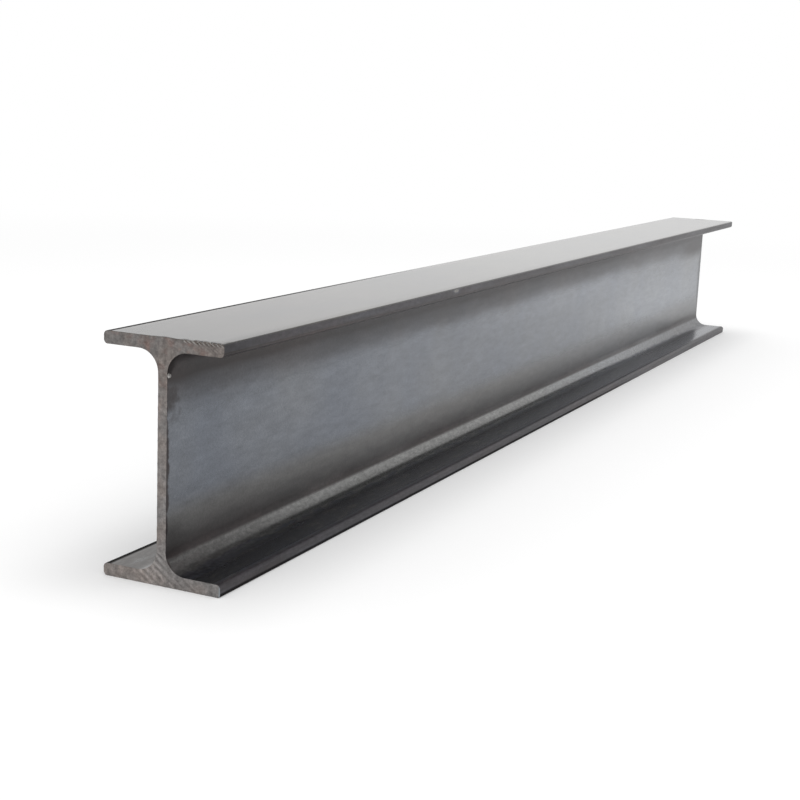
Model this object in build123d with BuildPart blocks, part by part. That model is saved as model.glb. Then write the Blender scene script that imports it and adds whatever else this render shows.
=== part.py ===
from build123d import *
import os

# A short length of hot-rolled steel I-beam with parallel flanges, sawn square at both ends.
# It stands on its lower flange. X runs along its length, Y across its flanges and Z up.
# The origin is under the middle of the beam, on the face that it stands on.

# Section of the beam, in millimetres
DEPTH = 100.0
FLANGE_WIDTH = 55.0
FLANGE_THICKNESS = 5.3
WEB_THICKNESS = 4.2
ROOT_RADIUS = 9.0
TOE_RADIUS = 1.8

# Length that the beam is sawn to, in millimetres
LENGTH = 850.0

# The section is drawn about the middle of the web, looking back along the beam
SECTION_PLANE = Plane(origin=(0, 0, DEPTH / 2), x_dir=(0, 1, 0), z_dir=(1, 0, 0))


with BuildPart() as i_beam:
    with BuildSketch(SECTION_PLANE) as section:
        # Two parallel flanges and the web between them
        with GridLocations(0, DEPTH - FLANGE_THICKNESS, 1, 2):
            Rectangle(FLANGE_WIDTH, FLANGE_THICKNESS)
        Rectangle(WEB_THICKNESS, DEPTH - 2 * FLANGE_THICKNESS)

        # Root radii where the web runs into the flanges
        roots = section.vertices().filter_by_position(Axis.X, -WEB_THICKNESS, WEB_THICKNESS)
        fillet(roots, radius=ROOT_RADIUS)

        # Toes of the flanges, rounded over by the rolls
        toes = section.vertices().group_by(Axis.X)
        fillet(toes[0] + toes[-1], radius=TOE_RADIUS)

    # The rolled section runs the whole length, and the saw leaves flat, square ends
    extrude(amount=LENGTH / 2, both=True)

i_beam.part.label = "i_beam"

os.makedirs("parts", exist_ok=True)
export_step(i_beam.part, "parts/i_beam.step")
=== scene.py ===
import math
import random
from types import SimpleNamespace

import bmesh
import bpy
from mathutils import Color, Matrix, Vector


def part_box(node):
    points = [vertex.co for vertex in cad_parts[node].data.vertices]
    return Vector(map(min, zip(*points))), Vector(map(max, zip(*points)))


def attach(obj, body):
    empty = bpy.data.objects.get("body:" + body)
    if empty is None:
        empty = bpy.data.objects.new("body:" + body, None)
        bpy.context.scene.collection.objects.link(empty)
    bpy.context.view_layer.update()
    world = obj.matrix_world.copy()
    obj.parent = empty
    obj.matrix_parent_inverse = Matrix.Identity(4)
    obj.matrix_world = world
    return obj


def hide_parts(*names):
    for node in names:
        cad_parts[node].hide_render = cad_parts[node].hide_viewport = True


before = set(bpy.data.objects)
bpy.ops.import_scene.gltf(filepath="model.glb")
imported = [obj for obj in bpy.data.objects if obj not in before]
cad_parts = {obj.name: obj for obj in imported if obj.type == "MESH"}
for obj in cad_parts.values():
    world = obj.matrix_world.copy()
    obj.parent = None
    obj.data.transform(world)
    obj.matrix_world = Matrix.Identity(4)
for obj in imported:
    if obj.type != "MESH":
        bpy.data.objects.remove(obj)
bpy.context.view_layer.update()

# Sizes are in metres, written as millimetres
MM = 0.001

# Outside sizes of the beam, read from the frame
LOW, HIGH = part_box("i_beam")
LENGTH = HIGH.x - LOW.x
FLANGE_WIDTH = HIGH.y - LOW.y
DEPTH = HIGH.z - LOW.z
MIDDLE_HEIGHT = DEPTH / 2
NEAR_END = LOW.x
FAR_END = HIGH.x

# Rolled section: the outer corners of the front toes are crisp, and the other corners of the toes round
FLANGE_THICKNESS = 5.3 * MM
WEB_THICKNESS = 4.2 * MM
ROOT_RADIUS = 9.0 * MM
TOE_RADIUS = 1.8 * MM
CRISP_TOE_RADIUS = 1.0 * MM
FLANGE_REACH = (FLANGE_WIDTH - WEB_THICKNESS) / 2
FRONT_OF_WEB = -WEB_THICKNESS / 2
FRONT_TOE = -FLANGE_WIDTH / 2
LOWER_ROOT_TOP = FLANGE_THICKNESS + ROOT_RADIUS
ROOT_SEGMENTS = 14
TOE_SEGMENTS = 6
CIRCULAR_PROFILE = 0.5

# Spacing of the edges that divide the flat faces, across the section and along the beam
CROSS_SPACING = 4.5 * MM
STATION_SPACING = 5.0 * MM

# Extra stations close to each sawn end
END_STATIONS = [0.7 * MM, 1.6 * MM, 3.0 * MM]

# Edges of each sawn end, broken by a narrow slope
RIM_WIDTH = 0.25 * MM
RIM_DEPTH = 0.18 * MM

# Saw marks: the blade crossed the ends on a slant, falling towards the front, and each mark has a
# share of its depth drawn between these two
SAW_SLANT = math.radians(37)
SAW_PITCH = 0.62 * MM
FINE_SAW_DEPTH = 0.06 * MM
DEEP_SAW_DEPTH = 0.3 * MM
LEAST_SAW_SHARE = 0.5
MOST_SAW_SHARE = 1.0
ACROSS_MARKS = Vector((0, math.sin(SAW_SLANT), -math.cos(SAW_SLANT)))
FIRST_MARK = Vector((0, LOW.y, HIGH.z)).dot(ACROSS_MARKS)
LAST_MARK = Vector((0, HIGH.y, LOW.z)).dot(ACROSS_MARKS)

# The torn stretch of the near end's top edge: how its teeth are pulled, how strongly, and how much
# of the pull reaches each station beside the cut
BURR_START = -26.8 * MM
BURR_STOP = -9.5 * MM
BURR_STROKES = 2
BURR_PULL = Vector((0.2, -0.5, -0.9)) * MM
LEAST_PULL = 0.2
MOST_PULL = 1.2
BURR_SHARES = [(0, 1.0), (END_STATIONS[0], 0.55), (END_STATIONS[1], 0.12)]
BURR_RADIUS = 0.6 * MM

# The torn foot of the web, with a deep saw mark at every few strokes
TORN_FOOT_HEIGHT = 14.0 * MM
TORN_FOOT_STROKES = 4

# A bead of metal that the blade threw onto the front of the web, beside the cut
BEAD_SIZE = 1.0 * MM
BEAD_FROM_CUT = 1.2 * BEAD_SIZE
BEAD_PLACE = Vector((NEAR_END + BEAD_FROM_CUT, FRONT_OF_WEB, 85.0 * MM))
BEAD_CUTS = 5

# A nick in the front toe of the upper flange, the edges that divide it as shares of its length, and
# the pushes that made it, each with the share of the nick it covers and its share of the depth
NICK_PLACE = Vector((-202 * MM, FRONT_TOE, 98.6 * MM))
NICK_LENGTH = 7.0 * MM
NICK_WIDTH = 1.6 * MM
NICK_DEPTH = 0.3 * MM
NICK_EDGES = [-0.5, -0.25, 0, 0.25, 0.5]
NICK_PUSHES = [(1.0, 0.5), (0.6, 0.5)]

# Tolerances for finding faces and points by place
TOUCHING = 0.01 * MM
CUT_TOLERANCE = 0.0001 * MM
FACING = 0.9
FACING_END = 0.5
FACING_A_LITTLE = 0.2

# Faces that turn less than the first angle are one flat face, and edges that turn more than the
# second stay crisp when the beam is shaded smooth
FLAT_ANGLE = math.radians(1)
CRISP_ANGLE = math.radians(32)

# Material slot of the sawn ends, after that of the skin
SAWN_SLOT = 1


# Picking faces, edges and points in edit mode

def start_picking(piece, kind):
    """Deselects everything and returns the piece's mesh, ready for selecting."""
    bpy.ops.mesh.select_mode(type=kind)
    bpy.ops.mesh.select_all(action="DESELECT")
    return bmesh.from_edit_mesh(piece.data)


def pick_faces(piece, wanted):
    """Selects the faces whose middle and normal are wanted."""
    mesh = start_picking(piece, "FACE")
    for face in mesh.faces:
        if wanted(face.calc_center_median(), face.normal):
            face.select_set(True)
    bmesh.update_edit_mesh(piece.data)


def pick_edges(piece, wanted):
    """Selects the edges whose two ends are wanted."""
    mesh = start_picking(piece, "EDGE")
    for edge in mesh.edges:
        if wanted(edge.verts[0].co, edge.verts[1].co):
            edge.select_set(True)
    bmesh.update_edit_mesh(piece.data)


def pick_points(piece, wanted):
    """Selects the points whose place is wanted."""
    mesh = start_picking(piece, "VERT")
    for point in mesh.verts:
        if wanted(point.co):
            point.select_set(True)
    bmesh.update_edit_mesh(piece.data)


def cut(place, normal):
    """Cuts what is selected with a plane, and leaves the new edges selected."""
    bpy.ops.mesh.bisect(plane_co=place, plane_no=normal, threshold=CUT_TOLERANCE)


def near(value, target):
    """True where two values are the same, within a small tolerance."""
    return abs(value - target) < TOUCHING


# Rolling the section

def runs_along(start, end):
    """True for an edge that runs along the beam."""
    return near(start.y, end.y) and near(start.z, end.z)


def at_root(start, end):
    """True for an edge in the corner between the web and a flange."""
    inner_heights = (FLANGE_THICKNESS, DEPTH - FLANGE_THICKNESS)
    beside_web = near(abs(start.y), WEB_THICKNESS / 2)
    return runs_along(start, end) and beside_web and any(near(start.z, z) for z in inner_heights)


def at_crisp_toe(start, end):
    """True for an outer edge of a front toe."""
    outer = near(start.z, LOW.z) or near(start.z, HIGH.z)
    return runs_along(start, end) and near(start.y, FRONT_TOE) and outer


def at_round_toe(start, end):
    """True for an inner edge of a front toe, and for both edges of a back one."""
    outer = near(start.z, LOW.z) or near(start.z, HIGH.z)
    inner = near(start.z, FLANGE_THICKNESS) or near(start.z, DEPTH - FLANGE_THICKNESS)
    at_front = near(start.y, FRONT_TOE) and inner
    at_back = near(start.y, -FRONT_TOE) and (inner or outer)
    return runs_along(start, end) and (at_front or at_back)


def roll_beam():
    """Blocks out the web, draws the flanges out of its sides, then rounds the roots and toes."""
    bpy.ops.object.select_all(action="DESELECT")
    bpy.ops.mesh.primitive_cube_add(
        size=1, location=(0, 0, MIDDLE_HEIGHT), scale=(LENGTH, WEB_THICKNESS, DEPTH)
    )
    beam = bpy.context.object
    beam.name = "rolled_i_beam"
    bpy.ops.object.transform_apply(location=True, rotation=True, scale=True)
    bpy.ops.object.mode_set(mode="EDIT")
    for height in (FLANGE_THICKNESS, DEPTH - FLANGE_THICKNESS):
        bpy.ops.mesh.select_all(action="SELECT")
        cut((0, 0, height), (0, 0, 1))
    for side in (-1, 1):
        pick_faces(
            beam,
            lambda middle, normal: normal.y * side > FACING
            and abs(middle.z - MIDDLE_HEIGHT) > MIDDLE_HEIGHT - FLANGE_THICKNESS,
        )
        bpy.ops.mesh.extrude_region_move(
            TRANSFORM_OT_translate={"value": (0, side * FLANGE_REACH, 0)}
        )
    bpy.ops.mesh.select_all(action="SELECT")
    bpy.ops.mesh.dissolve_limited(angle_limit=FLAT_ANGLE)
    pick_edges(beam, at_root)
    bpy.ops.mesh.bevel(offset=ROOT_RADIUS, segments=ROOT_SEGMENTS, profile=CIRCULAR_PROFILE)
    pick_edges(beam, at_round_toe)
    bpy.ops.mesh.bevel(offset=TOE_RADIUS, segments=TOE_SEGMENTS, profile=CIRCULAR_PROFILE)
    pick_edges(beam, at_crisp_toe)
    bpy.ops.mesh.bevel(offset=CRISP_TOE_RADIUS, segments=TOE_SEGMENTS, profile=CIRCULAR_PROFILE)
    return beam


def divide_flats(beam):
    """Divides the flat faces of the web and flanges lengthwise."""
    web_half = MIDDLE_HEIGHT - LOWER_ROOT_TOP
    web_cuts = round(2 * web_half / CROSS_SPACING)
    for step in range(1, web_cuts):
        height = MIDDLE_HEIGHT - web_half + step * 2 * web_half / web_cuts
        pick_faces(beam, lambda middle, normal: abs(normal.y) > FACING)
        cut((0, 0, height), (0, 0, 1))
    flange_half = FLANGE_WIDTH / 2 - TOE_RADIUS
    flange_cuts = round(2 * flange_half / CROSS_SPACING)
    for step in range(1, flange_cuts):
        across = -flange_half + step * 2 * flange_half / flange_cuts
        pick_faces(beam, lambda middle, normal: abs(normal.z) > FACING)
        cut((0, across, 0), (0, 1, 0))


# Sawing the ends

def finish_ends(beam, skin, sawn):
    """Gives the skin and the sawn ends their finishes, and breaks the edges of the ends."""
    bpy.ops.object.mode_set(mode="OBJECT")
    beam.data.materials.append(skin)
    beam.data.materials.append(sawn)
    bpy.ops.object.mode_set(mode="EDIT")
    pick_faces(beam, lambda middle, normal: abs(normal.x) > FACING)
    beam.active_material_index = SAWN_SLOT
    bpy.ops.object.material_slot_assign()
    bpy.ops.transform.resize(value=(1 - 2 * RIM_DEPTH / LENGTH, 1, 1))
    bpy.ops.mesh.inset(thickness=RIM_WIDTH, depth=RIM_DEPTH)


def top_crossing(mark):
    """How far across the beam a saw mark meets the top edge."""
    return (mark + DEPTH * math.cos(SAW_SLANT)) / math.sin(SAW_SLANT)


def saw_marks():
    """Number and place of each saw mark, measured across the marks."""
    count = math.ceil((LAST_MARK - FIRST_MARK) / SAW_PITCH)
    return [(stroke, FIRST_MARK + stroke * SAW_PITCH) for stroke in range(1, count)]


def saw_depth(draw, stroke, mark):
    """Depth of one saw mark: shallow, but deep on some strokes at the foot of the web."""
    foot_crossing = -mark / math.cos(SAW_SLANT)
    deep = 0 < foot_crossing < TORN_FOOT_HEIGHT and stroke % TORN_FOOT_STROKES == 0
    share = draw.uniform(LEAST_SAW_SHARE, MOST_SAW_SHARE)
    return share * (DEEP_SAW_DEPTH if deep else FINE_SAW_DEPTH)


def saw_end(beam, end, seed):
    """Scores an end with the slanting marks of the blade, each one pushed in a little."""
    draw = random.Random(seed)
    for stroke, mark in saw_marks():
        depth = saw_depth(draw, stroke, mark)
        pick_faces(beam, lambda middle, normal: normal.x * end > FACING_END)
        cut(ACROSS_MARKS * mark, ACROSS_MARKS)
        bpy.ops.transform.translate(value=(-end * depth, 0, 0))


def divide_along(beam):
    """Divides the beam along its length, closer together beside the sawn ends."""
    count = round(LENGTH / STATION_SPACING)
    places = [LOW.x + step * LENGTH / count for step in range(1, count)]
    places += [NEAR_END + offset for offset in END_STATIONS]
    places += [FAR_END - offset for offset in END_STATIONS]
    for place in places:
        bpy.ops.mesh.select_all(action="SELECT")
        cut((place, 0, 0), (1, 0, 0))


# Marks that the saw and handling left

def tear_burr(beam, seed):
    """Pulls the torn top edge down at every second saw mark, which leaves a row of teeth."""
    draw = random.Random(seed)
    torn = [
        (stroke, top_crossing(mark)) for stroke, mark in saw_marks()
        if BURR_START < top_crossing(mark) < BURR_STOP
    ]
    for _, across in torn:
        pick_faces(
            beam,
            lambda middle, normal: normal.z > FACING and middle.z > MIDDLE_HEIGHT
            and middle.x < NEAR_END + END_STATIONS[-1] and abs(middle.y - across) < CROSS_SPACING,
        )
        cut((0, across, 0), (0, 1, 0))
    for stroke, across in torn:
        if stroke % BURR_STROKES:
            continue
        strength = draw.uniform(LEAST_PULL, MOST_PULL)
        for offset, share in BURR_SHARES:
            middle = Vector((NEAR_END + offset, across, DEPTH))
            radius = TOUCHING if offset else BURR_RADIUS
            pick_points(beam, lambda place: (place - middle).length < radius)
            bpy.ops.transform.translate(value=BURR_PULL * strength * share)
    pick_faces(
        beam,
        lambda middle, normal: normal.x < -FACING_A_LITTLE and normal.z > FACING_A_LITTLE
        and middle.x < NEAR_END + END_STATIONS[1] and BURR_START < middle.y < BURR_STOP
        and middle.z > DEPTH - FLANGE_THICKNESS / 2,
    )
    beam.active_material_index = SAWN_SLOT
    bpy.ops.object.material_slot_assign()


def raise_bead(beam):
    """Draws a small round bead out of the front of the web, beside the cut."""
    def beside_cut(middle, normal):
        return middle.x < NEAR_END + END_STATIONS[-1] and normal.y < -FACING

    for height in (BEAD_PLACE.z - BEAD_SIZE, BEAD_PLACE.z, BEAD_PLACE.z + BEAD_SIZE):
        pick_faces(
            beam,
            lambda middle, normal: beside_cut(middle, normal)
            and abs(middle.z - BEAD_PLACE.z) < CROSS_SPACING,
        )
        cut((0, 0, height), (0, 0, 1))
    pick_faces(
        beam,
        lambda middle, normal: beside_cut(middle, normal)
        and abs(middle.z - BEAD_PLACE.z) < BEAD_SIZE,
    )
    bpy.ops.mesh.subdivide(number_cuts=BEAD_CUTS)
    mesh = start_picking(beam, "VERT")
    for point in mesh.verts:
        away = (point.co - BEAD_PLACE).length
        if away < BEAD_SIZE:
            point.co.y -= math.sqrt(BEAD_SIZE ** 2 - away ** 2)
    bmesh.update_edit_mesh(beam.data)


def dent_toe(beam):
    """Knocks a shallow nick into the front toe of the upper flange."""
    def on_toe(middle, normal):
        return (middle - NICK_PLACE).length < NICK_LENGTH and middle.y < FRONT_TOE + TOE_RADIUS

    for share in NICK_EDGES:
        pick_faces(beam, on_toe)
        cut((NICK_PLACE.x + share * NICK_LENGTH, 0, 0), (1, 0, 0))
    for reach, depth in NICK_PUSHES:
        pick_points(
            beam,
            lambda place: abs(place.x - NICK_PLACE.x) < reach * NICK_LENGTH / 2
            and abs(place.z - NICK_PLACE.z) < reach * NICK_WIDTH / 2
            and place.y < FRONT_TOE + TOE_RADIUS,
        )
        bpy.ops.transform.translate(value=(0, depth * NICK_DEPTH, -depth * NICK_DEPTH / 2))


# Finishes

# Sockets of the Mix node when it mixes colours, and when it mixes numbers
MIX_FIRST, MIX_SECOND, MIX_RESULT = 6, 7, 2
NUMBER_FIRST, NUMBER_SECOND = 2, 3


def colour(code):
    """Turns an sRGB hex colour into the linear one that a shader takes."""
    channels = [int(code[place:place + 2], 16) / 255 for place in (1, 3, 5)]
    return (*Color(channels).from_srgb_to_scene_linear(), 1.0)


def add(tree, kind, inputs=None, stops=None, output=0, **settings):
    """Adds a node with its settings, sets or links its inputs, and returns one of its outputs."""
    made = tree.nodes.new(kind)
    for name, value in settings.items():
        setattr(made, name, value)
    for key, value in (inputs or {}).items():
        if isinstance(value, bpy.types.NodeSocket):
            tree.links.new(value, made.inputs[key])
        else:
            made.inputs[key].default_value = value
    for number, (place, value) in enumerate(stops or []):
        elements = made.color_ramp.elements
        stop = elements[number] if number < len(elements) else elements.new(place)
        stop.position = place
        stop.color = colour(value) if isinstance(value, str) else (value, value, value, 1.0)
    return made.outputs[output] if made.outputs else None


def start_material(name):
    """Makes an empty material, and returns it with its tree and the object's own coordinates."""
    material = bpy.data.materials.new(name)
    material.use_nodes = True
    material.node_tree.nodes.clear()
    place = add(material.node_tree, "ShaderNodeTexCoord", output="Object")
    return material, material.node_tree, place


def find_place(tree, place):
    """Where a point is along, across and up the beam."""
    axes = add(tree, "ShaderNodeSeparateXYZ", {0: place}).node.outputs
    return SimpleNamespace(place=place, along=axes["X"], across=axes["Y"], height=axes["Z"])


def drawn_out(tree, place, sizes, detail, **settings):
    """A noise whose blotches have the given sizes along, across and up the beam."""
    stretch = [1 / size for size in sizes]
    stretched = add(tree, "ShaderNodeMapping", {"Vector": place, "Scale": stretch})
    inputs = {"Vector": stretched, "Scale": 1.0, "Detail": detail}
    return add(tree, "ShaderNodeTexNoise", inputs, **settings)


def sizes_away(tree, place, middle, size):
    """How far a point is from the middle of a mark, counted in the mark's own size."""
    offset = add(tree, "ShaderNodeVectorMath", {0: place, 1: middle}, operation="SUBTRACT")
    offset = add(tree, "ShaderNodeVectorMath", {0: offset, 1: size}, operation="DIVIDE")
    return add(tree, "ShaderNodeVectorMath", {0: offset}, operation="LENGTH", output="Value")


def limited(tree, strength, *limits):
    """Multiplies a strength by soft limits, each with its value, where it starts and is full, and
    how much it lets through there."""
    for value, start, full, least, most in limits:
        limit = add(
            tree,
            "ShaderNodeMapRange",
            {"Value": value, "From Min": start, "From Max": full, "To Min": least, "To Max": most},
            interpolation_type="SMOOTHSTEP",
        )
        strength = add(tree, "ShaderNodeMath", {0: limit, 1: strength}, operation="MULTIPLY")
    return strength


def lay_over(tree, base, layers):
    """Lays colours over a base, each with how much of it shows and how it blends."""
    for amount, layer, blend in layers:
        base = add(
            tree,
            "ShaderNodeMix",
            {0: amount, MIX_FIRST: base, MIX_SECOND: layer},
            data_type="RGBA",
            blend_type=blend,
            output=MIX_RESULT,
        )
    return base


# Mill scale: how dull and dark it is at each height of the web in millimetres, beside the near cut and
# along the rest of the beam: thick dull scale is left next to the roots, and the upper strip also holds
# painted shade under the upper flange
DULL_AND_SHADE_BY_HEIGHT = [
    (12, 1.0, 1.0),
    (13.5, 0.95, 0.86),
    (15, 0.8, 0.66),
    (18, 0.62, 0.48),
    (21, 0.53, 0.37),
    (24, 0.4, 0.27),
    (27, 0.3, 0.2),
    (31, 0.2, 0.09),
    (36, 0.08, 0.0),
    (44, 0.0, 0.0),
    (65, 0.0, 0.0),
    (69, 0.1, 0.02),
    (72, 0.2, 0.16),
    (75, 0.4, 0.45),
    (78, 0.57, 0.63),
    (81, 0.72, 0.71),
    (84, 1.0, 0.88),
    (87, 1.0, 0.88),
    (94, 1.0, 0.9),
]
BESIDE_CUT = 25 * MM
BEYOND_CUT = 200 * MM

# The dull strips are fainter towards the far end
FAINTER_START = 100 * MM
FAINTER_FULL = 280 * MM
FAINTER_MOST = 0.87

# Where the dull strips are narrower, the upper one and then the lower one, and where the lower one
# is wider again: the place along the beam, the reach, the shift in height and the half of the web
NARROW_PLACES = [
    (90 * MM, 260 * MM, -1.2 * MM, "GREATER_THAN"),
    (170 * MM, 180 * MM, 2.0 * MM, "LESS_THAN"),
    (370 * MM, 120 * MM, -2.5 * MM, "LESS_THAN"),
]

# Waves in which the dull scale fades into the bright middle of the web
WAVE_SIZES = (40 * MM, 12 * MM, 12 * MM)
WAVE_DETAIL = 5.0
WAVE_REACH = 1.3 * MM

# The lower root is burnished by the rolls: the heights between which it turns into dull web
ROOT_BURNISH_END = 10.2 * MM
DULL_WEB_START = 12.0 * MM

# The burnish of the front root is soiled towards both cuts, in places that the mottling breaks up
SOILED_PLACES = [
    (NEAR_END + 130 * MM, NEAR_END, 0.5),
    (FAR_END - 300 * MM, FAR_END, 0.45),
]
SOILED_SIDE_START = -16 * MM
SOILED_SIDE_FULL = -11 * MM
SOILED_BREAK = 0.5
SOILED_BACK = 0.3

# The dull scale, with its painted shade, covers the underside of the upper flange and the lower round of
# its toe
UPPER_DULL_STOP = DEPTH - FLANGE_THICKNESS + TOE_RADIUS
UPPER_DULL_BLEND = 0.7 * MM

# Toes of the flanges: the dull edge starts further in on the inner faces in front than elsewhere, where
# it is painted shade that dims the gleam of the toes' rounds, varies along the beam, and is brighter
# along one stretch
TOE_EDGE_START = 27.2 * MM
TOE_EDGE_FULL = 27.5 * MM
TOE_EDGE_MOST = 0.74
TOE_WAVES = 0.3
TOE_SHINE_PLACE = -310 * MM
TOE_SHINE_REACH = 120 * MM
TOE_SHINE_LEAST = 0.78
INNER_EDGE_START = 23.5 * MM
INNER_EDGE_FULL = 26.0 * MM

# The outsides of the flanges are soiled towards the near cut, and the whole skin a little darker
SOILED_TOP_REACH = 420 * MM
SOILED_TOP_MOST = 0.16
DARKER_REACH = 230 * MM
DARKER_MOST = 0.92

# Dark ragged line on the web along the near cut, and a softer one along the far cut
CUT_LINE_WIDTH = 1.5 * MM
CUT_LINE_START = 1.5 * CUT_LINE_WIDTH
CUT_LINE_FULL = 0.4 * CUT_LINE_WIDTH
CUT_LINE_SIDE_START = 6 * MM
CUT_LINE_SIDE_FULL = 0.6 * CUT_LINE_SIDE_START
FAR_LINE_START = FAR_END - 12 * MM
FAR_LINE_FULL = FAR_END - 1 * MM
FAR_LINE_MOST = 0.5

# Raggedness of the line and the marks beside the near cut
RAG_SIZE = 6 * MM
RAG_DETAIL = 4.0

# Dull marks, each with its place, size, strength and raggedness: a smear that spreads from the near
# cut, and a long brown patch at the far end of the web, under the upper flange
DULL_MARKS = [
    ((NEAR_END, FRONT_OF_WEB, 77 * MM), (13 * MM, 13 * MM, 16 * MM), 0.85, 0.4),
    ((400 * MM, FRONT_OF_WEB, 79 * MM), (105 * MM, 14 * MM, 15 * MM), 0.72, 0.0),
]

# Black marks beside the near cut, each with its place, size, strength and raggedness: black scale on
# the front toe of the upper flange and on the web, and painted shade in the upper root and at the foot
# of the lower root
BLACK_AND_SHADE_MARKS = [
    ((NEAR_END, FRONT_TOE, 97 * MM), (30 * MM, 3 * MM, 5 * MM), 0.2, 0.5),
    ((NEAR_END, -6 * MM, 90 * MM), (8 * MM, 8 * MM, 9 * MM), 0.55, 0.4),
    ((NEAR_END, -11 * MM, 6 * MM), (30 * MM, 6 * MM, 3 * MM), 0.6, 0.6),
    ((NEAR_END, FRONT_OF_WEB, 17 * MM), (22 * MM, 6 * MM, 14 * MM), 0.35, 0.0),
]
MARK_EDGE = 1.0
MARK_CORE = 0.2

# A line painted black along the top of the back toes, a painted dark reflection of their rounded edges,
# fading along the beam
BACK_LINE_START = 23.4 * MM
BACK_LINE_FULL = 24.8 * MM
BACK_LINE_TURN = 26.6 * MM
BACK_LINE_STOP = 27.2 * MM
BACK_LINE_MOST = 0.9
BACK_LINE_FADE_START = 80 * MM
BACK_LINE_FADE_END = 330 * MM

# A painted contact shadow in black under the front toe that the beam stands on, fading along the beam
UNDER_TOE_START = 25.0 * MM
UNDER_TOE_FULL = 26.2 * MM
UNDER_TOE_TOP = 2.2 * MM
UNDER_TOE_FOOT = 1.3 * MM
UNDER_TOE_MOST = 0.85
UNDER_TOE_FADE_START = 0.0
UNDER_TOE_FADE_END = 200 * MM

# Insides and outsides of the flanges, by their distance from the beam's middle height; the burnish
# reaches further down the root at the near end than at the far one
INSIDE_START = 43.85 * MM
INSIDE_FULL = 44.75 * MM
INSIDE_RAG = 0.8 * MM
LESS_BURNISH_START = -100 * MM
LESS_BURNISH_FULL = 250 * MM
LESS_BURNISH_SHIFT = 0.8 * MM
OUTSIDE_START = 49.0 * MM
OUTSIDE_FULL = 49.9 * MM

# Soft clouds in the colour of the bright and the dull scale, the dull colour also laid as painted shade,
# and patches outside the flanges
CLOUD_SIZE = 60 * MM
CLOUD_DETAIL = 3.0
PATCH_SIZES = (75 * MM, 30 * MM, 30 * MM)
PATCH_DETAIL = 5.0
BRIGHT_COLOURS = [(0.3, "#61666F"), (0.5, "#666A71"), (0.7, "#696C71")]
DULL_AND_SHADE_COLOURS = [(0.35, "#231D1D"), (0.5, "#292121"), (0.65, "#302625")]
PATCH_COLOURS = [(0.35, "#434344"), (0.5, "#4C4946"), (0.65, "#54504B")]
INNER_FRONT_COLOUR = "#4D5059"
INNER_BACK_COLOUR = "#565350"
# Black of the black scale, also laid as painted shade, painted shadow and painted dark reflection
BLACK_AND_SHADE_COLOUR = "#0B0A0A"

# The scale is less blue low on the web and on the lower root, most of all towards the near cut
LESS_BLUE_COLOUR = "#6A6A69"
LESS_BLUE_START = 36 * MM
LESS_BLUE_FULL = 25 * MM
LESS_BLUE_FADE_START = -60 * MM
LESS_BLUE_FADE_END = 140 * MM
LESS_BLUE_FAR = 0.45

# Painted highlights: brighter stretches of the web, each with its place, size and strength: under the
# upper dull strip half way along, and in the middle further along
PAINTED_SHINES = [
    ((90 * MM, FRONT_OF_WEB, 68 * MM), (260 * MM, 10 * MM, 13 * MM), 1.2),
    ((280 * MM, FRONT_OF_WEB, 46 * MM), (260 * MM, 10 * MM, 28 * MM), 1.32),
]
SHINE_EDGE = 1.0
SHINE_CORE = 0.1

# Mottling drawn out by the rolls, stronger outside the flanges
MOTTLE_SIZES = (12 * MM, 3 * MM, 3 * MM)
MOTTLE_DETAIL = 4.0
MOTTLING = 0.16
OUTSIDE_MOTTLING = 0.24

# Fine grain of the scale, drawn coarser than it is so that it shows
GRAIN_SIZE = 0.9 * MM
GRAIN_DETAIL = 2.0
GRAIN_SHADES = [(0.3, 0.88), (0.7, 1.12)]
GRAIN_HEIGHT = 0.03 * MM
GRAIN_STRENGTH = 0.4

# Flecks where the rolls burnished the roots
FLECK_SIZES = (3.2 * MM, 1.4 * MM, 1.4 * MM)
FLECK_DETAIL = 3.0
FLECK_SHADES = [(0.35, 0.9), (0.65, 1.4)]
FLECKS_START = 33 * MM
FLECKS_FULL = 38 * MM

# Gloss: satin where it is bright, and smoothest outside the flanges under a thin clear oxide
BRIGHT_ROUGHNESS = 0.26
OUTSIDE_ROUGHNESS = 0.17
DULL_ROUGHNESS = 0.4
BLACK_ROUGHNESS = 0.85
DULL_METALLIC = 0.03
SPECULAR_LEVEL = 0.28
BRIGHT_COAT = 0.3
INNER_COAT = 0.1
COAT_ROUGHNESS = 0.22

# Bare metal: the bead, its colour painted paler than steel to give its glint, and the nick
BARE_SPOTS = [
    (BEAD_PLACE, (BEAD_SIZE, BEAD_SIZE, BEAD_SIZE), "#F2F0EC"),
    (NICK_PLACE, (NICK_LENGTH / 2, NICK_WIDTH, NICK_WIDTH / 2), "#6A6866"),
]
BARE_EDGE = 1.1
BARE_CORE = 0.8


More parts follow.
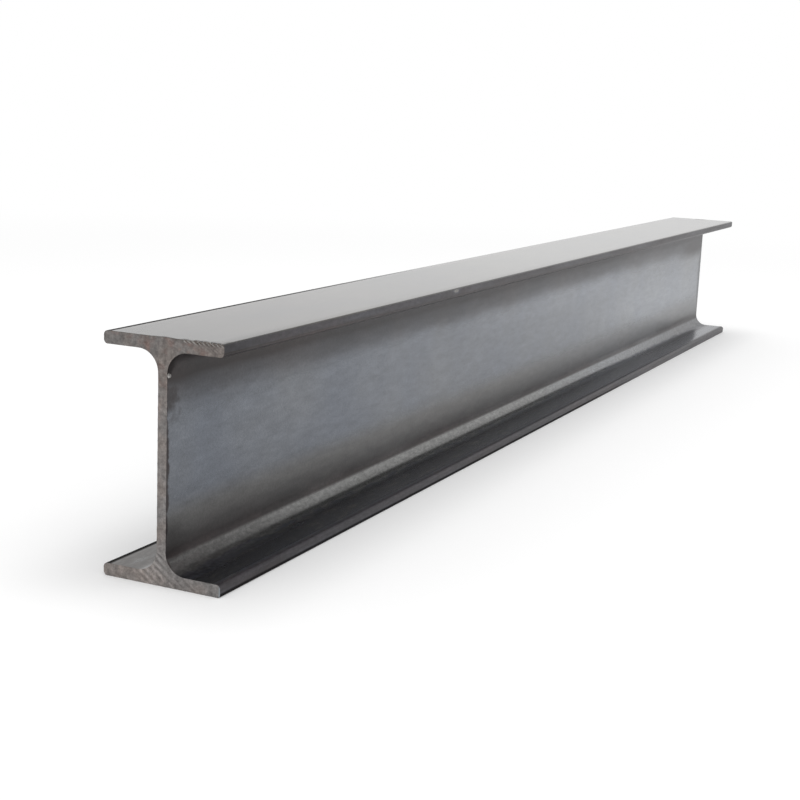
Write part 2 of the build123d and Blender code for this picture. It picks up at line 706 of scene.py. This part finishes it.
def dull_and_shaded_strips(tree, at, waves):
    """Dull strips of the web beside the roots, with wavy edges: thick scale, and painted shade under the
    upper flange.
    """
    wavy = add(tree, "ShaderNodeMath", {0: waves, 1: WAVE_REACH, 2: at.height}, operation="MULTIPLY_ADD")
    for middle, reach, shift, half in NARROW_PLACES:
        from_narrow = add(tree, "ShaderNodeMath", {0: at.along, 1: middle}, operation="SUBTRACT")
        from_narrow = add(tree, "ShaderNodeMath", {0: from_narrow}, operation="ABSOLUTE")
        in_half = add(tree, "ShaderNodeMath", {0: at.height, 1: MIDDLE_HEIGHT}, operation=half)
        shifted = limited(tree, in_half, (from_narrow, reach, 0.0, 0.0, shift))
        wavy = add(tree, "ShaderNodeMath", {0: wavy, 1: shifted}, operation="ADD")
    share = add(tree, "ShaderNodeMath", {0: wavy, 1: DEPTH}, operation="DIVIDE")
    beside_stops = [(high * MM / DEPTH, beside) for high, beside, beyond in DULL_AND_SHADE_BY_HEIGHT]
    beyond_stops = [(high * MM / DEPTH, beyond) for high, beside, beyond in DULL_AND_SHADE_BY_HEIGHT]
    dull_and_shade_beside = add(tree, "ShaderNodeValToRGB", {0: share}, beside_stops)
    dull_and_shade_beyond = add(tree, "ShaderNodeValToRGB", {0: share}, beyond_stops)
    away_from_cut = add(
        tree,
        "ShaderNodeMapRange",
        {"Value": at.from_cut, "From Min": BESIDE_CUT, "From Max": BEYOND_CUT},
        interpolation_type="SMOOTHSTEP",
    )
    return add(
        tree,
        "ShaderNodeMix",
        {0: away_from_cut, NUMBER_FIRST: dull_and_shade_beside, NUMBER_SECOND: dull_and_shade_beyond},
        data_type="FLOAT",
    )


def soiled_root(tree, at, mottle):
    """How soiled the burnished lower root is."""
    soiled = 0.0
    for clean, cut_end, most in SOILED_PLACES:
        dirt = add(
            tree,
            "ShaderNodeMapRange",
            {"Value": at.along, "From Min": clean, "From Max": cut_end, "To Max": most},
            interpolation_type="SMOOTHSTEP",
        )
        soiled = add(tree, "ShaderNodeMath", {0: dirt, 1: soiled}, operation="MAXIMUM")
    broken = add(tree, "ShaderNodeMath", {0: mottle, 1: SOILED_BREAK, 2: 1.0}, operation="MULTIPLY_ADD")
    soiled = add(tree, "ShaderNodeMath", {0: soiled, 1: broken}, operation="MULTIPLY", use_clamp=True)
    at_front = add(tree, "ShaderNodeMath", {0: at.across, 1: 0.0}, operation="LESS_THAN")
    return limited(
        tree,
        soiled,
        (at.across, SOILED_SIDE_START, SOILED_SIDE_FULL, 0.0, 1.0),
        (at_front, 0.0, 1.0, SOILED_BACK, 1.0),
    )


def dull_edges(tree, at, waves, outside):
    """Dull edges of the toes, painted shade on the inner sides of the front toes, and the soiling
    outside the flanges.
    """
    toe_waves = add(tree, "ShaderNodeMath", {0: waves, 1: TOE_WAVES, 2: 1.0}, operation="MULTIPLY_ADD")
    from_shine = add(tree, "ShaderNodeMath", {0: at.along, 1: TOE_SHINE_PLACE}, operation="SUBTRACT")
    from_shine = add(tree, "ShaderNodeMath", {0: from_shine}, operation="ABSOLUTE")
    toe_edge = limited(
        tree,
        toe_waves,
        (at.side, TOE_EDGE_START, TOE_EDGE_FULL, 0.0, TOE_EDGE_MOST),
        (from_shine, 0.0, TOE_SHINE_REACH, TOE_SHINE_LEAST, 1.0),
    )
    # Painted shade on the inner sides of the front toes, dimming the gleam of their rounds
    flange_middle = MIDDLE_HEIGHT - FLANGE_THICKNESS / 2
    between = add(tree, "ShaderNodeMath", {0: at.from_middle, 1: flange_middle}, operation="LESS_THAN")
    inner_edge_shade = limited(
        tree, between, (at.across, -INNER_EDGE_START, -INNER_EDGE_FULL, 0.0, TOE_EDGE_MOST)
    )
    soiled_top = add(
        tree,
        "ShaderNodeMapRange",
        {"Value": at.from_cut, "From Min": SOILED_TOP_REACH, "From Max": 0.0, "To Max": SOILED_TOP_MOST},
    )
    soiled_top = add(tree, "ShaderNodeMath", {0: soiled_top, 1: outside}, operation="MULTIPLY")
    return [toe_edge, inner_edge_shade, soiled_top]


def cut_lines(tree, at, rag):
    """Dark lines on the web along both cuts, the near one ragged."""
    on_web = (at.side, CUT_LINE_SIDE_START, CUT_LINE_SIDE_FULL, 0.0, 1.0)
    ragged_cut = add(
        tree, "ShaderNodeMath", {0: rag, 1: CUT_LINE_WIDTH, 2: at.from_cut}, operation="MULTIPLY_ADD"
    )
    near_line = limited(tree, 1.0, (ragged_cut, CUT_LINE_START, CUT_LINE_FULL, 0.0, 1.0), on_web)
    far_line = limited(tree, 1.0, (at.along, FAR_LINE_START, FAR_LINE_FULL, 0.0, FAR_LINE_MOST), on_web)
    return [near_line, far_line]


def ragged_marks(tree, at, rag, marks):
    """Marks that fade out from their middles to a ragged edge."""
    made = []
    for middle, size, most, ragged_by in marks:
        away = sizes_away(tree, at.place, middle, size)
        away = add(tree, "ShaderNodeMath", {0: rag, 1: ragged_by, 2: away}, operation="MULTIPLY_ADD")
        mark = add(
            tree,
            "ShaderNodeMapRange",
            {"Value": away, "From Min": MARK_EDGE, "From Max": MARK_CORE, "To Max": most},
            interpolation_type="SMOOTHSTEP",
        )
        made.append(mark)
    return made


def painted_dark_lines(tree, at):
    """Painted dark reflection in black along the back toes, and painted contact shadow under the front
    toe.
    """
    back_edge_reflection = limited(
        tree,
        1.0,
        (at.across, BACK_LINE_START, BACK_LINE_FULL, 0.0, BACK_LINE_MOST),
        (at.across, BACK_LINE_STOP, BACK_LINE_TURN, 0.0, 1.0),
        (at.from_cut, BACK_LINE_FADE_END, BACK_LINE_FADE_START, 0.0, 1.0),
    )
    under_toe_shadow = limited(
        tree,
        1.0,
        (at.across, -UNDER_TOE_START, -UNDER_TOE_FULL, 0.0, UNDER_TOE_MOST),
        (at.height, UNDER_TOE_TOP, UNDER_TOE_FOOT, 0.0, 1.0),
        (at.along, UNDER_TOE_FADE_END, UNDER_TOE_FADE_START, 0.0, 1.0),
    )
    return [back_edge_reflection, under_toe_shadow]


def inside_flanges(tree, at, mottle):
    """One on the insides of the flanges and beyond them, with a ragged edge on the roots."""
    ragged = add(
        tree, "ShaderNodeMath", {0: mottle, 1: INSIDE_RAG, 2: at.from_middle}, operation="MULTIPLY_ADD"
    )
    less_burnish = add(
        tree,
        "ShaderNodeMapRange",
        {
            "Value": at.along,
            "From Min": LESS_BURNISH_START,
            "From Max": LESS_BURNISH_FULL,
            "To Max": LESS_BURNISH_SHIFT,
        },
        interpolation_type="SMOOTHSTEP",
    )
    ragged = add(tree, "ShaderNodeMath", {0: ragged, 1: less_burnish}, operation="ADD")
    return add(
        tree,
        "ShaderNodeMapRange",
        {"Value": ragged, "From Min": INSIDE_START, "From Max": INSIDE_FULL},
        interpolation_type="SMOOTHSTEP",
    )


def bright_scale(tree, at, clouds, inside, outside):
    """Colour of the bright scale: less blue low on the web, darker inside the flanges, where it is
    bluer in front, and warm and patchy outside them."""
    bright = add(tree, "ShaderNodeValToRGB", {0: clouds}, BRIGHT_COLOURS)
    less_blue = limited(
        tree,
        1.0,
        (at.height, LESS_BLUE_START, LESS_BLUE_FULL, 0.0, 1.0),
        (at.along, LESS_BLUE_FADE_START, LESS_BLUE_FADE_END, 1.0, LESS_BLUE_FAR),
    )
    at_back = add(tree, "ShaderNodeMath", {0: at.across, 1: 0.0}, operation="GREATER_THAN")
    inner = lay_over(tree, colour(INNER_FRONT_COLOUR), [(at_back, colour(INNER_BACK_COLOUR), "MIX")])
    patches = drawn_out(tree, at.place, PATCH_SIZES, PATCH_DETAIL)
    patches = add(tree, "ShaderNodeValToRGB", {0: patches}, PATCH_COLOURS)
    layers = [
        (less_blue, colour(LESS_BLUE_COLOUR), "MIX"),
        (inside, inner, "MIX"),
        (outside, patches, "MIX"),
    ]
    return lay_over(tree, bright, layers)


def scale_shades(tree, at, mottle, grain, outside):
    """Layers that shade the colour of the scale, painted highlights among them, each with how much of it
    shows and how it blends.
    """
    painted_shines = []
    for middle, size, most in PAINTED_SHINES:
        away = sizes_away(tree, at.place, middle, size)
        painted_shines.append((away, SHINE_EDGE, SHINE_CORE, 1.0, most))
    shade = limited(tree, 1.0, (at.from_cut, 0.0, DARKER_REACH, DARKER_MOST, 1.0), *painted_shines)
    speckle = add(tree, "ShaderNodeValToRGB", {0: grain}, GRAIN_SHADES)
    mottling = add(
        tree, "ShaderNodeMapRange", {"Value": outside, "To Min": MOTTLING, "To Max": OUTSIDE_MOTTLING}
    )
    mottling = add(tree, "ShaderNodeMath", {0: mottle, 1: mottling, 2: 1.0}, operation="MULTIPLY_ADD")
    flecks = drawn_out(tree, at.place, FLECK_SIZES, FLECK_DETAIL)
    flecks = add(tree, "ShaderNodeValToRGB", {0: flecks}, FLECK_SHADES)
    at_roots = add(
        tree,
        "ShaderNodeMapRange",
        {"Value": at.from_middle, "From Min": FLECKS_START, "From Max": FLECKS_FULL},
        interpolation_type="SMOOTHSTEP",
    )
    at_roots = add(tree, "ShaderNodeMath", {0: at_roots, 1: outside}, operation="SUBTRACT")
    return [
        (1.0, shade, "MULTIPLY"),
        (1.0, speckle, "MULTIPLY"),
        (1.0, mottling, "MULTIPLY"),
        (at_roots, flecks, "MULTIPLY"),
    ]


def mill_scale():
    """Hot-rolled mill scale: a thin blue-grey oxide skin that shines like satin where the rolls
    burnished it, and is brown-black and dull where it stayed thick beside the roots. Painted into
    it are shade in the upper dark strip under the flange and on the inner sides of the front toes,
    shadows and dark reflections in black at a few corners and edges, highlights on two stretches
    of the web, and the glint of the bead."""
    material, tree, place = start_material("hot_rolled_mill_scale")
    at = find_place(tree, place)
    at.from_cut = add(tree, "ShaderNodeMath", {0: at.along, 1: NEAR_END}, operation="SUBTRACT")
    at.side = add(tree, "ShaderNodeMath", {0: at.across}, operation="ABSOLUTE")
    above_middle = add(tree, "ShaderNodeMath", {0: at.height, 1: MIDDLE_HEIGHT}, operation="SUBTRACT")
    at.from_middle = add(tree, "ShaderNodeMath", {0: above_middle}, operation="ABSOLUTE")

    # Patterns in the skin, and the outsides and insides of the flanges
    waves = drawn_out(tree, place, WAVE_SIZES, WAVE_DETAIL, normalize=False)
    mottle = drawn_out(tree, place, MOTTLE_SIZES, MOTTLE_DETAIL, normalize=False)
    rag = add(
        tree,
        "ShaderNodeTexNoise",
        {"Vector": place, "Scale": 1 / RAG_SIZE, "Detail": RAG_DETAIL},
        normalize=False,
    )
    clouds = add(
        tree, "ShaderNodeTexNoise", {"Vector": place, "Scale": 1 / CLOUD_SIZE, "Detail": CLOUD_DETAIL}
    )
    grain = add(
        tree, "ShaderNodeTexNoise", {"Vector": place, "Scale": 1 / GRAIN_SIZE, "Detail": GRAIN_DETAIL}
    )
    outside = add(
        tree,
        "ShaderNodeMapRange",
        {"Value": at.from_middle, "From Min": OUTSIDE_START, "From Max": OUTSIDE_FULL},
        interpolation_type="SMOOTHSTEP",
    )
    inside = inside_flanges(tree, at, mottle)

    # How dull and how black the scale is, painted shade, shadows and dark reflections included
    dull_and_shade = limited(
        tree,
        dull_and_shaded_strips(tree, at, waves),
        (at.along, FAINTER_START, FAINTER_FULL, 1.0, FAINTER_MOST),
        (at.height, ROOT_BURNISH_END, DULL_WEB_START, soiled_root(tree, at, mottle), 1.0),
        (at.height, UPPER_DULL_STOP + UPPER_DULL_BLEND, UPPER_DULL_STOP, 0.0, 1.0),
    )
    dull_marks = ragged_marks(tree, at, rag, DULL_MARKS)
    for mark in dull_edges(tree, at, waves, outside) + cut_lines(tree, at, rag) + dull_marks:
        dull_and_shade = add(tree, "ShaderNodeMath", {0: dull_and_shade, 1: mark}, operation="MAXIMUM")
    black_and_shade = 0.0
    for mark in ragged_marks(tree, at, rag, BLACK_AND_SHADE_MARKS) + painted_dark_lines(tree, at):
        black_and_shade = add(tree, "ShaderNodeMath", {0: mark, 1: black_and_shade}, operation="MAXIMUM")

    # Colours over the bright scale, then its gloss
    thick_and_shade = add(tree, "ShaderNodeValToRGB", {0: clouds}, DULL_AND_SHADE_COLOURS)
    layers = [(dull_and_shade, thick_and_shade, "MIX")]
    layers += scale_shades(tree, at, mottle, grain, outside)
    layers.append((black_and_shade, colour(BLACK_AND_SHADE_COLOUR), "MIX"))
    metallic = add(tree, "ShaderNodeMapRange", {"Value": dull_and_shade, "To Min": 1.0, "To Max": DULL_METALLIC})
    metallic = add(tree, "ShaderNodeMath", {0: metallic, 1: black_and_shade}, operation="MAXIMUM")
    roughness = add(
        tree,
        "ShaderNodeMapRange",
        {"Value": outside, "To Min": BRIGHT_ROUGHNESS, "To Max": OUTSIDE_ROUGHNESS},
    )
    inner_face = add(tree, "ShaderNodeMath", {0: inside, 1: outside}, operation="SUBTRACT")
    coat = add(
        tree, "ShaderNodeMapRange", {"Value": inner_face, "To Min": BRIGHT_COAT, "To Max": INNER_COAT}
    )
    for matt, rough in ((dull_and_shade, DULL_ROUGHNESS), (black_and_shade, BLACK_ROUGHNESS)):
        roughness = add(
            tree, "ShaderNodeMapRange", {"Value": matt, "To Min": roughness, "To Max": rough}
        )
        coat = add(tree, "ShaderNodeMapRange", {"Value": matt, "To Min": coat, "To Max": 0.0})

    # Bare metal where the skin was knocked or torn off, the bead's colour a painted glint
    for middle, size, metal in BARE_SPOTS:
        away = sizes_away(tree, place, middle, size)
        bare = add(
            tree, "ShaderNodeMapRange", {"Value": away, "From Min": BARE_EDGE, "From Max": BARE_CORE}
        )
        layers.append((bare, colour(metal), "MIX"))
        metallic = add(tree, "ShaderNodeMath", {0: metallic, 1: bare}, operation="MAXIMUM")

    bump = add(
        tree, "ShaderNodeBump", {"Strength": GRAIN_STRENGTH, "Distance": GRAIN_HEIGHT, "Height": grain}
    )
    shader = add(
        tree,
        "ShaderNodeBsdfPrincipled",
        {
            "Base Color": lay_over(tree, bright_scale(tree, at, clouds, inside, outside), layers),
            "Metallic": metallic,
            "Roughness": roughness,
            "Specular IOR Level": SPECULAR_LEVEL,
            "Normal": bump,
            "Coat Weight": coat,
            "Coat Roughness": COAT_ROUGHNESS,
        },
    )
    add(tree, "ShaderNodeOutputMaterial", {"Surface": shader})
    return material


# Saw-cut steel: a brown bloom, the streaks that the blade left, lumps and fine specks
BLOOM_SIZE = 14 * MM
BLOOM_DETAIL = 2.0
BLOOM_COLOURS = [(0.35, "#7C7A79"), (0.5, "#817D7B"), (0.65, "#867F7B")]
STREAK_SIZES = (30 * MM, 30 * MM, 1.9 * MM)
STREAK_DETAIL = 2.0
STREAK_SHADES = [(0.3, 0.95), (0.7, 1.05)]
LUMP_SIZE = 2.2 * MM
LUMP_DETAIL = 3.0
LUMP_SHADES = [(0.3, 0.74), (0.7, 1.26)]
LUMP_HEIGHT = 0.08 * MM
LUMP_STRENGTH = 0.5
SPECK_SIZE = 0.8 * MM
SPECK_DETAIL = 2.0
SPECK_SHADES = [(0.3, 0.85), (0.7, 1.15)]
SAWN_ROUGHNESS = 0.5

# Heights between which the ends turn darker, where they are soiled, and paler, at the foot, with the
# shade that they turn to
END_SHADES = [
    (70 * MM, 88 * MM, 0.86),
    (20 * MM, 9 * MM, 1.1),
]

# Rust in patches near the top of the ends, with the values of the noise where it starts and is dense
RUST_COLOUR = "#84706A"
RUST_SIZE = 5 * MM
RUST_DETAIL = 3.0
RUST_START = 0.5
RUST_DENSE = 0.68
RUST_MOST = 0.75
RUST_FOOT = 60 * MM
RUST_FULL = 94 * MM

# Painted light and shade on the ridges of the torn foot of the near end's web
TORN_FOOT_PLACE = (NEAR_END, 5.0 * MM, 7.0 * MM)
TORN_FOOT_EDGE = 10 * MM
TORN_FOOT_CORE = 5 * MM
TORN_FOOT_PITCH = TORN_FOOT_STROKES * SAW_PITCH / 2
RIDGE_PAINTED_SHADE = 0.85
RIDGE_PAINTED_LIGHT = 1.5

# Painted light on the torn tongues and painted shade in the teeth under the top edge of the near end
TEETH_FOOT = 98.4 * MM
TEETH_FULL = 99.3 * MM
TEETH_LIGHT_AND_SHADE = [(0.2, "#989592"), (0.8, "#625B57")]

# Painted blue-grey highlight on the rim of the front toe of the lower flange, on the ends
RIM_HIGHLIGHT_COLOUR = "#8E9498"
RIM_START = -26.7 * MM
RIM_FULL = -27.3 * MM


def sawn_shades(tree, at, lumps):
    """Shades that the colour of the ends is multiplied by: streaks, lumps, specks and dirt."""
    turned = add(
        tree,
        "ShaderNodeMapping",
        {"Vector": at.place, "Rotation": (SAW_SLANT, 0, 0)},
        vector_type="TEXTURE",
    )
    streaks = drawn_out(tree, turned, STREAK_SIZES, STREAK_DETAIL)
    specks = add(
        tree, "ShaderNodeTexNoise", {"Vector": at.place, "Scale": 1 / SPECK_SIZE, "Detail": SPECK_DETAIL}
    )
    patterns = ((streaks, STREAK_SHADES), (lumps, LUMP_SHADES), (specks, SPECK_SHADES))
    shades = [add(tree, "ShaderNodeValToRGB", {0: noise}, stops) for noise, stops in patterns]
    dirt = limited(tree, 1.0, *[(at.height, start, full, 1.0, most) for start, full, most in END_SHADES])
    return shades + [dirt]


def lit_and_shaded_foot_ridges(tree, at, mark):
    """Painted light and shade on the ridges of the torn foot of the near end."""
    ridge = add(tree, "ShaderNodeMath", {0: mark, 1: TORN_FOOT_PITCH}, operation="PINGPONG")
    ridge = add(
        tree,
        "ShaderNodeMapRange",
        {"Value": ridge, "From Max": TORN_FOOT_PITCH, "To Min": RIDGE_PAINTED_SHADE, "To Max": RIDGE_PAINTED_LIGHT},
    )
    from_foot = add(
        tree,
        "ShaderNodeVectorMath",
        {0: at.place, 1: TORN_FOOT_PLACE},
        operation="DISTANCE",
        output="Value",
    )
    on_foot = add(
        tree,
        "ShaderNodeMapRange",
        {"Value": from_foot, "From Min": TORN_FOOT_EDGE, "From Max": TORN_FOOT_CORE},
        interpolation_type="SMOOTHSTEP",
    )
    return add(
        tree, "ShaderNodeMix", {0: on_foot, NUMBER_FIRST: 1.0, NUMBER_SECOND: ridge}, data_type="FLOAT"
    )


def rust_patches(tree, at):
    """Where the ends are rusty."""
    rust = add(
        tree, "ShaderNodeTexNoise", {"Vector": at.place, "Scale": 1 / RUST_SIZE, "Detail": RUST_DETAIL}
    )
    rust = add(
        tree,
        "ShaderNodeMapRange",
        {"Value": rust, "From Min": RUST_START, "From Max": RUST_DENSE, "To Max": RUST_MOST},
    )
    high_up = add(
        tree, "ShaderNodeMapRange", {"Value": at.height, "From Min": RUST_FOOT, "From Max": RUST_FULL}
    )
    return add(tree, "ShaderNodeMath", {0: rust, 1: high_up}, operation="MULTIPLY")


def torn_teeth_light_and_shade(tree, at, mark):
    """Where the top edge of the near end is torn, and the painted light and shade of its tongues and
    teeth.
    """
    before_stop = add(tree, "ShaderNodeMath", {0: at.across, 1: BURR_STOP}, operation="LESS_THAN")
    at_near_end = add(tree, "ShaderNodeMath", {0: at.along, 1: 0.0}, operation="LESS_THAN")
    torn = add(tree, "ShaderNodeMath", {0: before_stop, 1: at_near_end}, operation="MULTIPLY")
    torn = limited(tree, torn, (at.height, TEETH_FOOT, TEETH_FULL, 0.0, 1.0))
    tooth = add(tree, "ShaderNodeMath", {0: mark, 1: SAW_PITCH}, operation="PINGPONG")
    tooth = add(tree, "ShaderNodeMath", {0: tooth, 1: SAW_PITCH}, operation="DIVIDE")
    return torn, add(tree, "ShaderNodeValToRGB", {0: tooth}, TEETH_LIGHT_AND_SHADE)


def toe_rim_highlight(tree, at):
    """Where the painted highlight on the rim of the lower front toe is."""
    rim = add(
        tree, "ShaderNodeMapRange", {"Value": at.across, "From Min": RIM_START, "From Max": RIM_FULL}
    )
    low_down = add(tree, "ShaderNodeMath", {0: at.height, 1: MIDDLE_HEIGHT}, operation="LESS_THAN")
    return add(tree, "ShaderNodeMath", {0: rim, 1: low_down}, operation="MULTIPLY")


def sawn_steel():
    """Saw-cut steel left in the open: matt grey with a brown bloom, with painted light and shade on the
    ridges that the blade left and on the torn teeth, and a painted highlight on the rim of the lower
    front toe."""
    material, tree, place = start_material("saw_cut_steel")
    at = find_place(tree, place)
    bloom = add(
        tree, "ShaderNodeTexNoise", {"Vector": place, "Scale": 1 / BLOOM_SIZE, "Detail": BLOOM_DETAIL}
    )
    bloom = add(tree, "ShaderNodeValToRGB", {0: bloom}, BLOOM_COLOURS)
    lumps = add(
        tree, "ShaderNodeTexNoise", {"Vector": place, "Scale": 1 / LUMP_SIZE, "Detail": LUMP_DETAIL}
    )

    # Place of a point across the saw marks
    mark = add(
        tree,
        "ShaderNodeVectorMath",
        {0: place, 1: ACROSS_MARKS},
        operation="DOT_PRODUCT",
        output="Value",
    )
    mark = add(tree, "ShaderNodeMath", {0: mark, 1: FIRST_MARK}, operation="SUBTRACT")

    # Rust over the bloom, then the shades, the painted light and shade of the ridges and teeth, and the
    # painted highlight on the rim
    layers = [(rust_patches(tree, at), colour(RUST_COLOUR), "MIX")]
    for shade in (*sawn_shades(tree, at, lumps), lit_and_shaded_foot_ridges(tree, at, mark)):
        layers.append((1.0, shade, "MULTIPLY"))
    layers.append((*torn_teeth_light_and_shade(tree, at, mark), "MIX"))
    layers.append((toe_rim_highlight(tree, at), colour(RIM_HIGHLIGHT_COLOUR), "MIX"))

    bump = add(
        tree, "ShaderNodeBump", {"Strength": LUMP_STRENGTH, "Distance": LUMP_HEIGHT, "Height": lumps}
    )
    shader = add(
        tree,
        "ShaderNodeBsdfPrincipled",
        {
            "Base Color": lay_over(tree, bloom, layers),
            "Metallic": 1.0,
            "Roughness": SAWN_ROUGHNESS,
            "Normal": bump,
        },
    )
    add(tree, "ShaderNodeOutputMaterial", {"Surface": shader})
    return material


beam = roll_beam()
divide_flats(beam)
finish_ends(beam, mill_scale(), sawn_steel())
saw_end(beam, -1, seed=3)
saw_end(beam, 1, seed=8)
divide_along(beam)
tear_burr(beam, seed=5)
dent_toe(beam)
raise_bead(beam)
bpy.ops.object.mode_set(mode="OBJECT")
bpy.ops.object.shade_smooth_by_angle(angle=CRISP_ANGLE)

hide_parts("i_beam")
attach(beam, "root")


# Studio: white surroundings, a pale floor and one broad soft lamp overhead

WHITE = "#FFFFFF"
SURROUNDINGS_SEEN = 1.0
SURROUNDINGS_LIGHT = 0.65
OVERHEAD_SEEN = 0.6
OVERHEAD_START = 0.2
OVERHEAD_FULL = 0.6
LAMP_SIDE = 2.4
LAMP_POWER = 22.0
LAMP_PLACE = (-0.25, -0.5, 2.2)

# The floor is lifted to white, but less so right beside the beam, which paints a soft contact shadow
# round its foot, and fades into the surroundings
FLOOR_COLOUR = "#E7E7E7"
FLOOR_SIDE = 12.0
FLOOR_FADE_START = 0.6
FLOOR_FADE_END = 1.6
FLOOR_LIFT = 0.3
PAINTED_SHADOW_REACH = 50 * MM
LIFT_IN_PAINTED_SHADOW = 0.22


def seen_directly(tree):
    """One for rays from the camera, off gloss and through glass, and nothing for other rays."""
    rays = add(tree, "ShaderNodeLightPath").node.outputs
    seen = rays["Is Camera Ray"]
    for other in (rays["Is Glossy Ray"], rays["Is Transmission Ray"]):
        seen = add(tree, "ShaderNodeMath", {0: seen, 1: other}, operation="MAXIMUM")
    return seen


def light_studio():
    """White all round to the camera and to gloss, greyer overhead to gloss, and softer as light."""
    world = bpy.data.worlds.new("white_surroundings")
    world.use_nodes = True
    bpy.context.scene.world = world
    tree = world.node_tree
    tree.nodes.clear()
    strength = add(
        tree,
        "ShaderNodeMapRange",
        {"Value": seen_directly(tree), "To Min": SURROUNDINGS_LIGHT, "To Max": SURROUNDINGS_SEEN},
    )
    direction = add(tree, "ShaderNodeTexCoord", output="Generated")
    upward = add(tree, "ShaderNodeSeparateXYZ", {0: direction}, output="Z")
    overhead = add(
        tree,
        "ShaderNodeMapRange",
        {
            "Value": upward,
            "From Min": OVERHEAD_START,
            "From Max": OVERHEAD_FULL,
            "To Min": SURROUNDINGS_SEEN,
            "To Max": OVERHEAD_SEEN,
        },
        interpolation_type="SMOOTHSTEP",
    )
    off_gloss = add(tree, "ShaderNodeLightPath", output="Is Glossy Ray")
    shown = add(
        tree,
        "ShaderNodeMix",
        {0: off_gloss, NUMBER_FIRST: strength, NUMBER_SECOND: overhead},
        data_type="FLOAT",
    )
    light = add(tree, "ShaderNodeBackground", {"Color": colour(WHITE), "Strength": shown})
    add(tree, "ShaderNodeOutputWorld", {"Surface": light})

    bpy.ops.object.light_add(type="AREA", location=LAMP_PLACE)
    lamp = bpy.context.object
    lamp.name = "overhead_softbox"
    lamp.data.size = LAMP_SIDE
    lamp.data.energy = LAMP_POWER
    lamp.visible_camera = False


def lay_floor():
    """Matt white paper: an even, dull floor that keeps the beam's soft shadow, deepened by a painted
    contact shadow round its foot.
    """
    bpy.ops.object.select_all(action="DESELECT")
    bpy.ops.mesh.primitive_plane_add(size=FLOOR_SIDE)
    floor = bpy.context.object
    floor.name = "studio_floor"
    material, tree, place = start_material("matt_white_floor")
    away = add(tree, "ShaderNodeVectorMath", {0: place}, operation="LENGTH", output="Value")
    fade = add(
        tree,
        "ShaderNodeMapRange",
        {"Value": away, "From Min": FLOOR_FADE_START, "From Max": FLOOR_FADE_END},
        interpolation_type="SMOOTHSTEP",
    )

    # Distance from the foot of the beam
    foot = (LENGTH / 2, FLANGE_WIDTH / 2, 0)
    outward = add(tree, "ShaderNodeVectorMath", {0: place}, operation="ABSOLUTE")
    outward = add(tree, "ShaderNodeVectorMath", {0: outward, 1: foot}, operation="SUBTRACT")
    outward = add(tree, "ShaderNodeVectorMath", {0: outward, 1: (0, 0, 0)}, operation="MAXIMUM")
    outward = add(tree, "ShaderNodeVectorMath", {0: outward}, operation="LENGTH", output="Value")
    # Less lift close to the foot: a painted contact shadow on the floor
    lift_with_painted_shadow = add(
        tree,
        "ShaderNodeMapRange",
        {"Value": outward, "From Max": PAINTED_SHADOW_REACH, "To Min": LIFT_IN_PAINTED_SHADOW, "To Max": FLOOR_LIFT},
        interpolation_type="SMOOTHSTEP",
    )

    # The lifted paper, and the white that it fades into
    seen = seen_directly(tree)
    lifted = add(tree, "ShaderNodeMath", {0: seen, 1: lift_with_painted_shadow}, operation="MULTIPLY")
    faded = add(tree, "ShaderNodeMath", {0: fade, 1: seen}, operation="MULTIPLY")
    paper = add(tree, "ShaderNodeBsdfDiffuse", {"Color": colour(FLOOR_COLOUR)})
    lift = add(tree, "ShaderNodeEmission", {"Color": colour(WHITE), "Strength": lifted})
    lit = add(tree, "ShaderNodeAddShader", {0: paper, 1: lift})
    glow = add(tree, "ShaderNodeEmission", {"Color": colour(WHITE), "Strength": SURROUNDINGS_SEEN})
    surface = add(tree, "ShaderNodeMixShader", {0: faded, 1: lit, 2: glow})
    add(tree, "ShaderNodeOutputMaterial", {"Surface": surface})
    floor.data.materials.append(material)


# Camera at the photograph's place: it looks down a little on the sawn end and the front
CAMERA_AZIMUTH = math.radians(-65.241)
CAMERA_ELEVATION = math.radians(11.474)
CAMERA_ROLL = math.radians(2.419)
CAMERA_DISTANCE = 0.767
CAMERA_TARGET = Vector((-0.206, 0, 0.039))
CAMERA_LENS = 65.886
CAMERA_SENSOR = 36.0


def set_camera():
    """Aims the camera at its target, with a small roll."""
    level = math.cos(CAMERA_ELEVATION)
    back = Vector((
        math.sin(CAMERA_AZIMUTH) * level,
        -math.cos(CAMERA_AZIMUTH) * level,
        math.sin(CAMERA_ELEVATION),
    ))
    right = Vector((0, 0, 1)).cross(back).normalized()
    upright = Matrix((right, back.cross(right), back)).transposed()
    turned = upright @ Matrix.Rotation(CAMERA_ROLL, 3, "Z")
    bpy.ops.object.camera_add(
        location=CAMERA_TARGET + back * CAMERA_DISTANCE, rotation=turned.to_euler()
    )
    camera = bpy.context.object
    camera.data.sensor_width = CAMERA_SENSOR
    camera.data.lens = CAMERA_LENS
    bpy.context.scene.camera = camera


light_studio()
lay_floor()
set_camera()
bpy.context.scene.view_settings.view_transform = "Standard"
